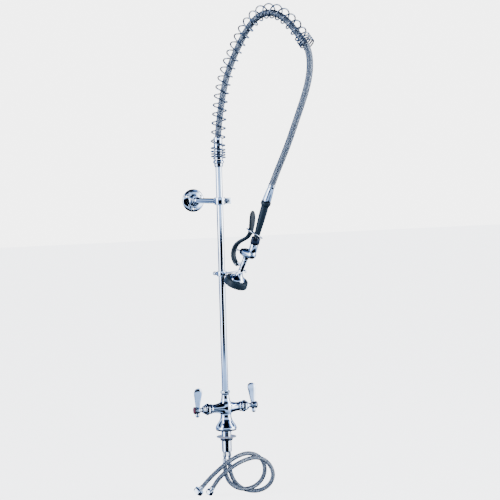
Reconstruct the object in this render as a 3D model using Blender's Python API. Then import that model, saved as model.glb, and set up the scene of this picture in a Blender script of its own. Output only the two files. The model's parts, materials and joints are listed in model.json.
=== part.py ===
"""Deck-mounted pre-rinse faucet: mixing body, riser, sprung hose arch, spray valve, hook and wall bracket.

Lengths in the tables are millimetres, and MM turns them into metres. The origin is the middle of the
base on the deck, +Z up, the user stands on -Y, the wall is on +Y, and hot is on -X.
"""

import bmesh
import bpy
from math import cos, pi, radians, sin
from mathutils import Matrix, Vector

MM = 0.001
GAP = 0.3

# Driving dimensions
SIDES = 12                      # facets round most turned pieces
ARM_Z = 60                      # height of the handles' axis
HUB_X = 81                      # middle of a handle's hub
RISER_R, RISER_BORE = 8.75, 6.7
RISER_FOOT, RISER_TOP = 80, 708.5
SHANK_R, SHANK_BORE, SHANK_END = 13.5, 11.2, -59
TAIL_X = 6.2                    # the two hose tails stand this far each side of the axis
BRACKET_Z, WALL_Y = 612, 200
HOOK_Z, HOOK_RISE, HOOK_REACH = 419, 8, 75
ARCH_TURN = 27                  # the arch's plane, turned from the front towards +X, in degrees
FLEX_AT = (9, 850)               # the spring flexes about this place in the arch plane
WIRE_R, COIL_R = 2, 17.8        # spring wire, and the middle of its coils
ACTIVE_PITCH, CLOSED_PITCH = 23.5, 6.5
HOSE_R, SUPPLY_R = 8.5, 5.6
LEVER_PIVOT = (54, 446)
SPRAY_TOP, SPRAY_END = (85.4, 463), (50, 399)
GRIP_TOP, GRIP_FOOT = (159, 608), (123, 517)
BARREL_OUT, BARREL_IN = (81.5, 477.4), (113.5, 469.4)
RING_MIDDLE, RING_R, RING_WIRE = (117, 527), 23.2, 1.9
RING_NORMAL = (0.435, 0.365, 0.823)   # along the arch plane, across it, and up

# Routes of the flexible pieces: (out from the riser, height) in the arch plane
SPRING_ROUTE = [
    (0, 725), (0, 759), (2.5, 795), (6.5, 830.5), (11.5, 866), (19.5, 901), (31, 935), (46.5, 967.5),
    (65, 998.5), (85, 1028), (107.5, 1056), (134.5, 1079.5), (167.5, 1093.5), (203, 1091.5),
    (235, 1075.5), (262, 1051.5), (285.5, 1024.5), (308, 996.5),
]
HOSE_ROUTE = [
    (0, 723), (0, 759), (2.4, 795), (8.4, 830), (15.6, 865), (24.5, 899.5), (35.5, 933), (51, 965),
    (69, 996), (89, 1025), (111, 1052.5), (137, 1075.5), (168.5, 1088.5), (201.5, 1086.5),
    (232, 1071.5), (258.5, 1048), (281.5, 1021.5), (293.8, 1007.5), (304.3, 991), (309.8, 973.5),
    (311.6, 954.5), (310.2, 933.5), (305.2, 910), (297, 886), (286, 860), (263, 811), (240, 763),
    (219, 723.5), (200, 690), (181, 654),
]
# (across the view from the front left, height, depth away from it) of each supply hose
COLD_ROUTE = [
    (6.2, -94, 0), (9, -119, 3), (18, -141, 7), (34, -158, 8.5), (55, -167, 7.5),
    (78, -167.5, 3), (99, -159, -4), (115, -142.5, -11), (121.5, -119.5, -17),
    (114.5, -95.5, -21.5), (98.5, -78.5, -24.5), (76.5, -71.5, -26.5), (53.5, -75.5, -27.5),
    (31.5, -84.5, -28), (10.5, -97.5, -27), (-8.5, -112.5, -24), (-25, -130, -18),
    (-39, -151, -11),
]
HOT_ROUTE = [
    (-6.2, -94, 0), (-5.2, -116, -1.5), (3, -137.5, -4.5), (19.5, -152.5, -7), (41, -159, -8),
    (63, -156, -8), (82, -145, -7.5), (95.5, -127, -7.5), (100, -105, -8), (94, -83.5, -9.5),
    (78.5, -68, -12.5), (57.5, -62, -15.5), (35.5, -65.5, -19), (14.5, -75, -23.5), (-6.5, -89, -25), (-27, -106.5, -22),
    (-47, -126, -16.5), (-67, -149, -10.5),
]
VIEW_TURN = 23                  # the loops' plane, turned from the XZ plane towards -Y, in degrees

UP = Vector((0, 0, 1))
ARCH_OUT = Vector((sin(radians(ARCH_TURN)), -cos(radians(ARCH_TURN)), 0))
ARCH_SIDE = UP.cross(ARCH_OUT)
LOOP_RIGHT = Vector((cos(radians(VIEW_TURN)), -sin(radians(VIEW_TURN)), 0))
LOOP_BACK = Vector((sin(radians(VIEW_TURN)), cos(radians(VIEW_TURN)), 0))

FINISHES = {
    "chrome": ((0.62, 0.66, 0.71), 0.12, 1.0),
    "dark_chrome": ((0.12, 0.14, 0.18), 0.25, 1.0),
    "brass": ((0.72, 0.53, 0.25), 0.3, 1.0),
    "steel": ((0.55, 0.56, 0.58), 0.35, 1.0),
    "braid": ((0.45, 0.48, 0.52), 0.38, 1.0),
    "slate_plastic": ((0.045, 0.085, 0.12), 0.42, 0.0),
    "black_rubber": ((0.015, 0.015, 0.017), 0.7, 0.0),
    "white_plastic": ((0.62, 0.62, 0.68), 0.5, 0.0),
    "ceramic": ((0.8, 0.8, 0.78), 0.3, 0.0),
    "red_plastic": ((0.25, 0.02, 0.04), 0.35, 0.0),
    "blue_plastic": ((0.03, 0.07, 0.35), 0.35, 0.0),
}


# ---- placing ----

def in_arch(u, z, v=0.0):
    """The world point, in mm, of a place in the arch's plane, and v to one side of it."""
    return ARCH_OUT * u + ARCH_SIDE * v + UP * z


def in_loop(right, z, back):
    return LOOP_RIGHT * right + LOOP_BACK * back + UP * z


def aim(start, end, across=None):
    """The matrix of a piece turned about the line from start to end, whose local +X lies near across."""
    along = (end - start).normalized()
    across = across or (Vector((1, 0, 0)) if abs(along.x) < 0.9 else UP)
    side = along.cross(across).normalized()
    turn = Matrix((side.cross(along), side, along)).transposed().to_4x4()
    return Matrix.Translation(start * MM) @ turn


def arch_line(start, end):
    return aim(in_arch(*start), in_arch(*end), ARCH_SIDE)


def side_line(sign):
    """Local +Z runs out along a handle's axis from the middle of the body."""
    middle = Vector((0, 0, ARM_Z))
    return aim(middle, middle + Vector((sign, 0, 0)), UP)


def moved(x=0.0, y=0.0, z=0.0):
    return Matrix.Translation(Vector((x, y, z)) * MM)


# ---- making ----

def material(finish):
    if finish in bpy.data.materials:
        return bpy.data.materials[finish]
    colour, roughness, metallic = FINISHES[finish]
    made = bpy.data.materials.new(finish)
    made.use_nodes = True
    shader = made.node_tree.nodes["Principled BSDF"]
    shader.inputs["Base Color"].default_value = (*colour, 1)
    shader.inputs["Roughness"].default_value = roughness
    shader.inputs["Metallic"].default_value = metallic
    return made


def piece(name, bm, finish, place=None, rides=None):
    """Turns a bmesh in mm into a named object in metres, at place, and hangs it on its body's empty."""
    bmesh.ops.remove_doubles(bm, verts=bm.verts, dist=1e-4)
    bmesh.ops.recalc_face_normals(bm, faces=bm.faces)
    bmesh.ops.scale(bm, vec=(MM, MM, MM), verts=bm.verts)
    mesh = bpy.data.meshes.new(name)
    bm.to_mesh(mesh)
    bm.free()
    mesh.materials.append(material(finish))
    mesh.shade_smooth()
    mesh.set_sharp_from_angle(angle=radians(35))
    made = bpy.data.objects.new(name, mesh)
    bpy.context.scene.collection.objects.link(made)
    return hang(made, place or Matrix(), rides)


def hang(made, place, rides):
    made.matrix_basis = place
    if rides:
        made.parent = rides
        made.matrix_parent_inverse = rides.matrix_basis.inverted()
    return made


def joint_empty(name, point):
    """An empty on a joint's axis, which the moving pieces hang on."""
    empty = bpy.data.objects.new(name, None)
    empty.empty_display_size = 0.02
    bpy.context.scene.collection.objects.link(empty)
    empty.matrix_basis = Matrix.Translation(point * MM)
    return empty


def turned_bm(outline, sides=SIDES):
    """Spins an outline of (radius, height) points. It closes on itself unless it starts and ends on the axis."""
    bm = bmesh.new()
    verts = [bm.verts.new((radius, 0, height)) for radius, height in outline]
    edges = [bm.edges.new(pair) for pair in zip(verts, verts[1:])]
    if outline[0][0] > 0 or outline[-1][0] > 0:
        edges.append(bm.edges.new((verts[-1], verts[0])))
    bmesh.ops.spin(bm, geom=verts + edges, axis=(0, 0, 1), cent=(0, 0, 0), angle=2 * pi, steps=sides, use_merge=True)
    return bm


def ring_outline(bore, outside, low, high):
    return [(bore, low), (outside, low), (outside, high), (bore, high)]


def rod_outline(radius, low, high):
    return [(0, low), (radius, low), (radius, high), (0, high)]


def turned(name, outline, finish, place=None, rides=None, sides=SIDES):
    return piece(name, turned_bm(outline, sides), finish, place, rides)


def prism_bm(corners, low, high):
    """Extrudes a flat outline of (x, y) corners from low to high along Z."""
    bm = bmesh.new()
    face = bm.faces.new([bm.verts.new((x, y, low)) for x, y in corners])
    grown = bmesh.ops.extrude_face_region(bm, geom=[face])["geom"]
    tops = [item for item in grown if isinstance(item, bmesh.types.BMVert)]
    bmesh.ops.translate(bm, vec=(0, 0, high - low), verts=tops)
    return bm


def hexagon(across_flats):
    radius = across_flats / 2 / cos(pi / 6)
    return [(radius * cos(pi * i / 3), radius * sin(pi * i / 3)) for i in range(6)]


def box_bm(low, high):
    corners = [(low[0], low[1]), (high[0], low[1]), (high[0], high[1]), (low[0], high[1])]
    return prism_bm(corners, low[2], high[2])


def helper(name, bm, place=None, rides=None):
    """A shape that a Boolean uses and the finished part leaves out."""
    made = piece(name, bm, "steel", place, rides)
    made.hide_render = True
    made.display_type = "WIRE"
    return made


def boolean(target, operation, bm, place=None):
    """Cuts a shape out of target, or joins one to it. The shape's place is given in the world."""
    count = len(target.modifiers)
    tool = helper(f"{target.name}.{operation.lower()}{count}", bm, place)
    modifier = target.modifiers.new(tool.name, "BOOLEAN")
    modifier.operation = operation
    modifier.object = tool
    modifier.solver = "EXACT"


def cut(target, bm, place=None):
    boolean(target, "DIFFERENCE", bm, place)


def join(target, bm, place=None):
    boolean(target, "UNION", bm, place)


def hex_nut(name, across_flats, bore, low, high, finish, place=None, rides=None):
    nut = piece(name, prism_bm(hexagon(across_flats), low, high), finish, place, rides)
    cut(nut, turned_bm(rod_outline(bore, low - 5, high + 5)), place)
    return nut


def smooth_route(points, count):
    """count points, evenly spaced, along a Catmull-Rom curve through the route's own points."""
    points = [Vector(point) for point in points]
    padded = [2 * points[0] - points[1], *points, 2 * points[-1] - points[-2]]
    fine = []
    for a, b, c, d in zip(padded, padded[1:], padded[2:], padded[3:]):
        for step in range(24):
            t = step / 24
            fine.append(
                (2 * b + (c - a) * t + (2 * a - 5 * b + 4 * c - d) * t**2 + (3 * b - a - 3 * c + d) * t**3) / 2
            )
    fine.append(points[-1])
    lengths = [0.0]
    for before, after in zip(fine, fine[1:]):
        lengths.append(lengths[-1] + (after - before).length)
    spaced, at = [], 0
    for index in range(count):
        wanted = lengths[-1] * index / (count - 1)
        while at < len(fine) - 2 and lengths[at + 1] < wanted:
            at += 1
        share = (wanted - lengths[at]) / (lengths[at + 1] - lengths[at])
        spaced.append(fine[at].lerp(fine[at + 1], min(share, 1)))
    return spaced, lengths[-1]


def tube(name, points, radius, finish, rides=None, resolution=2):
    """A solid round tube through world points in mm, as a curve with a bevel and filled caps."""
    curve = bpy.data.curves.new(name, "CURVE")
    curve.dimensions = "3D"
    curve.bevel_depth = radius * MM
    curve.bevel_resolution = resolution
    curve.use_fill_caps = True
    curve.twist_mode = "MINIMUM"
    spline = curve.splines.new("POLY")
    spline.points.add(len(points) - 1)
    for slot, point in zip(spline.points, points):
        slot.co = (*(point * MM), 1)
    curve.materials.append(material(finish))
    made = bpy.data.objects.new(name, curve)
    bpy.context.scene.collection.objects.link(made)
    return hang(made, Matrix(), rides)


# ---- below and on the deck ----

def deck_fixing():
    turned("base_gasket", ring_outline(14.2, 27.5, 0, 1.5), "black_rubber")
    turned(
        "mounting_shank",
        [(SHANK_BORE, SHANK_END), (12.6, SHANK_END), (SHANK_R, SHANK_END + 3), (SHANK_R, 9), (SHANK_BORE, 9)],
        "chrome",
    )
    turned("deck_washer", ring_outline(SHANK_R + 0.5, 26.7, -19, -17), "white_plastic")
    nut = turned(
        "deck_locknut",
        [(13.9, -27.5), (16.2, -27.5), (17, -26.3), (17, -20.6), (16.2, -19.3), (13.9, -19.3)],
        "dark_chrome",
    )
    for index in range(4):
        slot = box_bm((15.6, -2, -29), (19, 2, -22.5))
        cut(nut, slot, Matrix.Rotation(pi / 4 + index * pi / 2, 4, "Z"))


def faucet_body():
    body = turned(
        "faucet_body",
        [
            (0, 9.6), (13.9, 9.6), (13.9, 1.8), (27.6, 1.8), (28.6, 4), (28.3, 8), (26.4, 13), (22.8, 18.5),
            (19, 24), (16.2, 30), (14.8, 36), (14.5, 41), (15.8, 47), (17, 53), (17.4, 62), (16.4, 69),
            (13.8, 76), (11.8, 82), (10.9, 89), (10.9, 96.5), (0, 96.5),
        ],
        "chrome",
        sides=16,
    )
    arms = [
        (0, -47), (12.6, -47), (13.2, -46), (13.2, -41), (11.9, -38.5), (11.9, -30), (13.2, -21), (15.6, -13),
    ]
    join(body, turned_bm(arms + [(radius, -along) for radius, along in reversed(arms)], 15), side_line(1))
    cut(body, turned_bm(rod_outline(RISER_R + 0.45, RISER_FOOT - 0.5, 120), 14))
    cut(body, turned_bm(rod_outline(4.5, 63.7, 90), 9))
    for sign in (-1, 1):
        line = side_line(sign)
        cut(body, turned_bm(rod_outline(8.4, 18.3, 60), 11), line)
        cut(body, turned_bm(rod_outline(1.7, 1, 20), 8), moved(z=5.7) @ line)
        cut(body, turned_bm(rod_outline(2.1, 3.2, 20), 9), moved(z=-4.4) @ line)
        cut(body, turned_bm(rod_outline(4.4, 5, 19), 12), tail_place(sign))
        cut(body, turned_bm(rod_outline(1.8, 15, ARM_Z - 3.9), 7), tail_place(sign))


def tail_place(sign):
    return Matrix.Translation(in_loop(sign * TAIL_X, 0, 0) * MM)


def supply_line(side, sign, route, nut_flats):
    """One braided supply hose with its threaded tail, crimped sleeve and the nut for the stop valve."""
    at = tail_place(sign)
    tail = turned(
        f"{side}_hose_tail",
        [(0, -76.5), (3.4, -76.5), (3.4, -74), (4.6, -73.5), (4.6, -60.6), (4, -60), (4, 18), (0, 18)],
        "steel", at, sides=8,
    )
    join(tail, prism_bm(hexagon(9.6), -71.5, -63), at)
    foot = in_loop(*route[0])
    turned(
        f"{side}_hose_sleeve",
        [(0, 1.1), (5.6, 1.1), (5.9, 1.8), (5.9, 14), (5, 15.5), (4.2, 17), (0, 17)],
        "chrome", aim(foot, foot + UP), sides=8,
    )
    points, _ = smooth_route([in_loop(*point) for point in route], 26)
    tube(f"{side}_supply_hose", points, SUPPLY_R, "braid")
    end, before = points[-1], points[-2]
    line = aim(end, end + (end - before))
    turned(
        f"{side}_end_sleeve",
        [(0, 0.3), (5.6, 0.3), (6.3, 1.2), (6.3, 9), (5.2, 10), (5.2, 12.5), (0, 12.5)],
        "chrome", line, sides=8,
    )
    nut = piece(f"{side}_supply_nut", prism_bm(hexagon(nut_flats), 12.8, 24), "chrome", line)
    cut(nut, turned_bm(rod_outline(nut_flats / 2 - 2.6, 15.5, 30)), line)


# ---- hot and cold sides ----

def side_valve(side, sign, rides, lean, index_finish):
    """Everything along one handle's axis, from the ceramic disc inside to the index cap."""
    line = side_line(sign)
    turned(f"{side}_ceramic_disc", ring_outline(2.2, 7.8, 19, 23.6), "ceramic", line, rides, 10)
    turned(
        f"{side}_cartridge",
        [(3.6, 29), (7.9, 29), (7.9, 47.3), (10.4, 47.3), (10.4, 49.2), (8.2, 49.2), (8.2, 60), (3.6, 60)],
        "brass", line, sides=10,
    )
    bonnet = turned(
        f"{side}_bonnet",
        [
            (10.8, 48.2), (12.5, 48.2), (12.5, 57.5), (12.3, 60.2), (10.6, 61.3), (10.2, 64), (8.4, 65.6),
            (3.8, 65.6), (3.8, 60.4), (8.6, 60.4), (8.6, 49.6), (10.8, 49.6),
        ],
        "chrome", line,
    )
    join(bonnet, prism_bm(hexagon(27.6), 48.2, 56.8), line)
    cut(bonnet, turned_bm([(0, 40), (10.8, 40), (10.8, 49.6), (8.6, 49.6), (8.6, 60.4), (0, 60.4)]), line)
    turned(
        f"{side}_stem",
        [(0, 24), (6.6, 24), (6.6, 28.5), (3.2, 28.5), (3.2, 80), (1.9, 80), (1.9, 74), (0, 74)],
        "brass", line, rides, 8,
    )
    handle = turned(
        f"{side}_handle",
        [
            (3.5, 66.2), (6.1, 66.2), (5.6, 69), (6.2, 72.6), (8.4, 75), (9.4, 77), (9.4, 86.6), (8.9, 87.4),
            (5, 87.4), (5, 82), (3.5, 82),
        ],
        "chrome", line, rides,
    )
    # The lever is a flat blade, which widens to a rounded end, above a short tail below the hub
    tilt = moved(z=ARM_Z) @ Matrix.Rotation(radians(lean), 4, "X") @ moved(x=sign * (HUB_X - 0.8))
    blade = [(-6.6, 6.5), (6.6, 6.5), (8, 22), (11.6, 45), (11.6, 52), (8, 58), (0, 60)]
    outline = blade + [(-x, z) for x, z in reversed(blade[2:-1])]
    join(handle, blade_bm(outline, 5.4), tilt)
    join(handle, turned_bm([(0, -20), (3.2, -19.2), (5, -17), (5.6, -14), (5.2, -7), (0, -7)], 10), tilt)
    turned(
        f"{side}_handle_screw",
        [(0, 75), (1.6, 75), (1.6, 82.3), (3.9, 82.3), (3.9, 84.6), (3.2, 85), (0, 85)],
        "steel", line, rides, 8,
    )
    turned(
        f"{side}_index",
        [(0, 85.4), (4.5, 85.4), (4.5, 87.7), (9.6, 87.7), (9.9, 88.4), (9, 90), (5.5, 91.4), (0, 92)],
        index_finish, line, rides,
    )


def lofted_bm(rings):
    """A closed skin over a row of rings, each of as many points, with a flat face at each end."""
    bm = bmesh.new()
    made = [[bm.verts.new(point) for point in ring] for ring in rings]
    loops = [[bm.edges.new(pair) for pair in zip(ring, ring[1:] + ring[:1])] for ring in made]
    for before, after in zip(loops, loops[1:]):
        bmesh.ops.bridge_loops(bm, edges=before + after)
    bm.faces.new(made[0])
    bm.faces.new(made[-1])
    return bm


def blade_bm(outline, thickness):
    """An (x, z) outline, thick in y, with its edges bevelled."""
    bm = prism_bm([(x, z) for x, z in outline], -thickness / 2, thickness / 2)
    bmesh.ops.rotate(bm, matrix=Matrix.Rotation(pi / 2, 3, "X"), cent=(0, 0, 0), verts=bm.verts)
    rims = [edge for edge in bm.edges if abs(edge.verts[0].co.y - edge.verts[1].co.y) < 1e-6]
    bmesh.ops.bevel(bm, geom=rims, offset=1.2, affect="EDGES", segments=1, profile=0.5, material=-1)
    return bm


# ---- riser, wall bracket and hook ----

def riser():
    turned("riser_seal", ring_outline(RISER_R + 0.35, 10.4, 96.8, 98.6), "black_rubber")
    hex_nut("riser_coupling_nut", 24, RISER_R + 0.35, 98.9, 106, "chrome")
    turned("riser_pipe", ring_outline(RISER_BORE, RISER_R, RISER_FOOT, RISER_TOP), "chrome")
    turned(
        "spring_seat",
        [
            (RISER_R + 0.35, 702), (10.4, 702), (11.6, 704), (11.6, 711), (14.6, 713), (14.6, 717), (12.4, 719.5),
            (12.4, 721.5), (5, 721.5), (5, 709), (RISER_R + 0.35, 709),
        ],
        "chrome",
    )
    turned("hose_swage", [(9.9, 722), (11.8, 722), (11.8, 777), (11, 781), (9.9, 781)], "chrome")


def wall_bracket():
    level = moved(z=BRACKET_Z)
    clamp = turned("riser_clamp", ring_outline(RISER_R + 0.3, 14, -10, 10), "chrome", level, sides=14)
    join(clamp, box_bm((10, -6, -8), (31, 6, 8)), level)
    boss = [(0, 10), (9.8, 10), (9.4, 16), (8.2, 22), (8, 27), (0, 27)]
    to_wall = level @ Matrix.Rotation(-pi / 2, 4, "X")
    join(clamp, turned_bm(boss, 12), to_wall)
    cut(clamp, turned_bm(rod_outline(RISER_R + 0.35, -20, 20), 14), level)
    cut(clamp, box_bm((5, -1, -20), (40, 1, 20)), level)
    across = level @ moved(x=22) @ Matrix.Rotation(pi / 2, 4, "X")
    cut(clamp, turned_bm(rod_outline(2.8, -12, 12), 8), across)
    screw = turned("clamp_screw", [(0, -8.5), (2.4, -8.5), (2.4, 6.3), (4.3, 6.3), (4.3, 10.4), (0, 10.4)],
                   "steel", across, sides=8)
    cut(screw, prism_bm(hexagon(4), 7.6, 12), across)
    turned(
        "bracket_arm",
        [(0, 27.3), (7.3, 27.3), (7.3, 160), (9.4, 162), (9.4, 172), (7.3, 174), (7.3, 196), (0, 196)],
        "chrome", to_wall,
    )
    hex_nut("wall_nut", 25, 7.6, 176.6, 188, "chrome", to_wall)
    flange = turned(
        "wall_flange",
        [
            (7.6, 188.4), (13.4, 188.4), (15, 191), (24, 193), (30.6, 195), (32, 197), (32, WALL_Y),
            (0, WALL_Y), (0, 196.4), (7.6, 196.4),
        ],
        "chrome", to_wall, sides=18,
    )
    for index in range(3):
        turn = to_wall @ Matrix.Rotation(radians(90 + 120 * index), 4, "Z") @ moved(x=23)
        cut(flange, turned_bm([(0, 188), (4.6, 188), (4.6, 194), (2.5, 196.4), (2.5, 210), (0, 210)], 8), turn)


def hook():
    level = moved(z=HOOK_Z)
    out = aim(in_arch(0, HOOK_Z), in_arch(1, HOOK_Z), ARCH_SIDE)
    fork = turned("hook_fork", ring_outline(RISER_R + 0.3, 13.2, -6.5, 6.5), "chrome", level, sides=14)
    join(fork, turned_bm(rod_outline(4.6, 10.5, 18), 10), out @ Matrix.Rotation(pi, 4, "X"))
    # Local +X across the arch plane, local -Y up, local +Z out along the prongs, which rise
    rise = out @ Matrix.Rotation(radians(-HOOK_RISE), 4, "X")
    slot_half, prong = 10, 4.5
    half = slot_half + prong
    yoke = [
        (-half, 15), (-8, 8), (8, 8), (half, 15), (half, HOOK_REACH), (slot_half, HOOK_REACH),
        (slot_half, 27), (7, 22.5), (-7, 22.5), (-slot_half, 27), (-slot_half, HOOK_REACH), (-half, HOOK_REACH),
    ]
    flat = rise @ Matrix.Rotation(pi / 2, 4, "X")
    join(fork, prism_bm([(x, z) for x, z in yoke], -1.7, 1.7), flat)
    for sign in (-1, 1):
        middle = sign * (slot_half + prong / 2)
        join(fork, box_bm((middle - 2.2, HOOK_REACH - 4.6, 1), (middle + 2.2, HOOK_REACH - 0.2, 7.2)), flat)
    cut(fork, turned_bm(rod_outline(RISER_R + 0.35, -20, 20), 14), level)
    back = out @ Matrix.Rotation(pi, 4, "X")
    cut(fork, turned_bm(rod_outline(2.4, 5, 25), 8), back)
    turned(
        "hook_thumbscrew",
        [(0, 9.1), (2, 9.1), (2, 20.5), (4.2, 21), (5.2, 22.5), (5.2, 27), (4, 28.4), (0, 28.8)],
        "chrome", back, sides=10,
    )


# ---- spring arch and spray valve ----

def arch_frames(points):
    """(point, inward normal) along a route in the arch's plane. The coil turns about these."""
    frames = []
    for index, point in enumerate(points):
        ahead = points[min(index + 1, len(points) - 1)] - points[max(index - 1, 0)]
        frames.append((point, ahead.cross(ARCH_SIDE).normalized()))
    return frames


def spring_points(steps_per_turn=8):
    """A right-handed coil along the arch, with closed turns at each end and open ones between."""
    fine, length = smooth_route([in_arch(*point) for point in SPRING_ROUTE], 600)
    frames = arch_frames(fine)
    closed = 3 * CLOSED_PITCH
    points, along, turns = [], 0.0, 0.0
    while along < length - WIRE_R:
        place = along / length * (len(frames) - 1)
        point, normal = frames[int(place)]
        angle = 2 * pi * turns
        points.append(point + COIL_R * (normal * cos(angle) + ARCH_SIDE * sin(angle)))
        near_end = min(along, length - along)
        share = min(max((near_end - closed) / ACTIVE_PITCH, 0), 1)
        pitch = CLOSED_PITCH + (ACTIVE_PITCH - CLOSED_PITCH) * share
        turns += 1 / steps_per_turn
        along += pitch / steps_per_turn
    return points


def hose_arch(rides):
    tube("arch_spring", spring_points(), WIRE_R, "chrome", rides, resolution=0)
    points, _ = smooth_route([in_arch(*point) for point in HOSE_ROUTE], 44)
    tube("prerinse_hose", points, HOSE_R, "braid", rides)


def grip(rides):
    end = HOSE_ROUTE[-1]
    turned(
        "hose_ferrule",
        [
            (0, 0.3), (8.4, 0.3), (9.2, 1.4), (9.2, 8), (8.2, 9), (9.4, 18), (11.2, 40), (11.6, 47.6),
            (6.2, 47.6), (6.2, 36), (0, 36),
        ],
        "chrome", arch_line(end, GRIP_TOP), rides, 12,
    )
    line = arch_line(GRIP_TOP, GRIP_FOOT)
    turned(
        "grip_sleeve",
        [
            (5.4, -1.8), (11.6, -1.8), (13, -0.6), (13, 6.4), (11.6, 8.4), (10.1, 11), (10, 30), (9, 62), (7.7, 92),
            (7.7, 97), (5.4, 97),
        ],
        "slate_plastic", line, rides,
    )
    turned("grip_tube", ring_outline(3.4, 5.1, -10, 105), "steel", line, rides, 10)
    nut = piece("inlet_nut", prism_bm(hexagon(21), 98.4, 117), "dark_chrome", line, rides)
    cut(nut, turned_bm(rod_outline(5.4, 90, 105.4), 14), line)
    cut(nut, turned_bm(rod_outline(3.4, 100, 130), 12), line)


def valve_body(rides):
    barrel = arch_line(BARREL_OUT, BARREL_IN)
    body = turned(
        "valve_body",
        [
            (7.4, 0), (10.6, 0), (11.8, 1.2), (12, 16), (12, 25), (11, 30), (8, 33.6), (3.5, 35.2), (0, 35.4),
            (0, 26), (7.4, 26),
        ],
        "chrome", barrel, rides,
    )
    grip_line = arch_line(GRIP_TOP, GRIP_FOOT)
    join(body, turned_bm([(0, 117.3), (9.6, 117.3), (10.4, 119), (11, 137), (0, 137)], 11), grip_line)
    spray = arch_line(SPRAY_TOP, SPRAY_END)
    join(body, turned_bm([(0, -10), (9, -10), (8.6, -4), (7.6, -1), (7.6, 3.2), (0, 3.2)], 13), spray)
    cut(body, turned_bm(rod_outline(7.4, -5, 26)), barrel)
    cut(body, turned_bm(rod_outline(3.4, 110, 134), 8), grip_line)
    cut(body, turned_bm(rod_outline(3.8, -9, 10), 8), spray)

    neck = turned("spray_neck", [(3.8, 3.5), (6.75, 3.5), (6.75, 40), (3.8, 40)], "chrome", spray, rides)
    ear = arch_line(LEVER_PIVOT, (76, LEVER_PIVOT[1] + 2))
    # The lug for the lever's pin: local +Z from the pin to the neck, local +X across the plane
    lug = box_bm((-3, -4.6, 0), (3, 4.6, 18.5))
    join(neck, lug, ear)
    across = aim(in_arch(*LEVER_PIVOT), in_arch(*LEVER_PIVOT, 1), ARCH_OUT)
    join(neck, turned_bm(rod_outline(4.6, -3, 3), 12), across)
    cut(neck, turned_bm(rod_outline(2.3, -9, 9), 8), across)
    cut(neck, turned_bm(rod_outline(3.8, -9, 60)), spray)

    turned(
        "valve_bonnet",
        [
            (2.5, -12), (6.6, -12), (8.6, -10), (8.8, -4.2), (10.6, -4), (10.6, -0.4), (7, -0.4), (7, 5), (2.5, 5),
        ],
        "dark_chrome", barrel, rides,
    )


def valve_works(rides, plunger_rides):
    """What the lever works inside the barrel: the plunger, its washer and the spring that returns it."""
    barrel = arch_line(BARREL_OUT, BARREL_IN)
    turned(
        "plunger",
        [
            (0, -30.2), (2.2, -30), (2.8, -28.8), (2.8, -25), (2.1, -23.5), (2.1, 6.5), (5.6, 6.5), (5.6, 8.1),
            (2.1, 8.1), (2.1, 14), (0, 14),
        ],
        "steel", barrel, plunger_rides, 8,
    )
    turned("seat_washer", ring_outline(2.4, 6, 8.4, 10.8), "black_rubber", barrel, plunger_rides, 10)
    coil, turns, steps = [], 5, 8
    for index in range(turns * steps + 1):
        angle = 2 * pi * index / steps
        along = 11.9 + index / (turns * steps) * 12.8
        coil.append(barrel @ (Vector((4.4 * cos(angle), 4.4 * sin(angle), along)) * MM) / MM)
    tube("return_spring", coil, 0.55, "steel", rides, resolution=0)


def squeeze_lever(rides):
    """A cast lever: a flat paddle beside the grip, then an arm that curls under the valve to its pin."""
    # (u, z, thickness in the plane, width across it)
    stations = [
        (112.9, 585.2, 2, 9), (112.8, 582, 4, 15), (112.2, 575, 4.8, 20.5), (111, 562, 5.2, 23),
        (109.2, 550, 5.4, 21.5), (106.4, 538, 6, 19), (102, 526, 7, 17), (93, 517, 7.6, 16), (75, 509, 8.4, 16),
        (56, 498.5, 8.8, 16), (45.6, 484, 9, 16), (42.8, 468, 9.2, 16), (46.2, 455.5, 9.6, 15.4),
        (54, 446, 10, 14.6), (58.5, 442.5, 6.5, 14),
    ]
    middles = [in_arch(u, z) for u, z, _, _ in stations]
    corners = ((1, 0.55), (0.55, 1), (-0.55, 1), (-1, 0.55), (-1, -0.55), (-0.55, -1), (0.55, -1), (1, -0.55))
    rings = []
    for index, (_, _, thickness, width) in enumerate(stations):
        along = middles[min(index + 1, len(middles) - 1)] - middles[max(index - 1, 0)]
        out = along.cross(ARCH_SIDE).normalized() * thickness / 2
        side = ARCH_SIDE * width / 2
        rings.append([middles[index] + x * out + y * side for x, y in corners])
    bm = lofted_bm(rings)
    lever = piece("squeeze_lever", bm, "slate_plastic", None, rides)
    across = aim(in_arch(*LEVER_PIVOT), in_arch(*LEVER_PIVOT, 1), ARCH_OUT)
    cut(lever, turned_bm(rod_outline(8.4, -3.4, 3.4), 14), across)
    cut(lever, turned_bm(rod_outline(2.4, -12, 12), 8), across)


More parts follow.
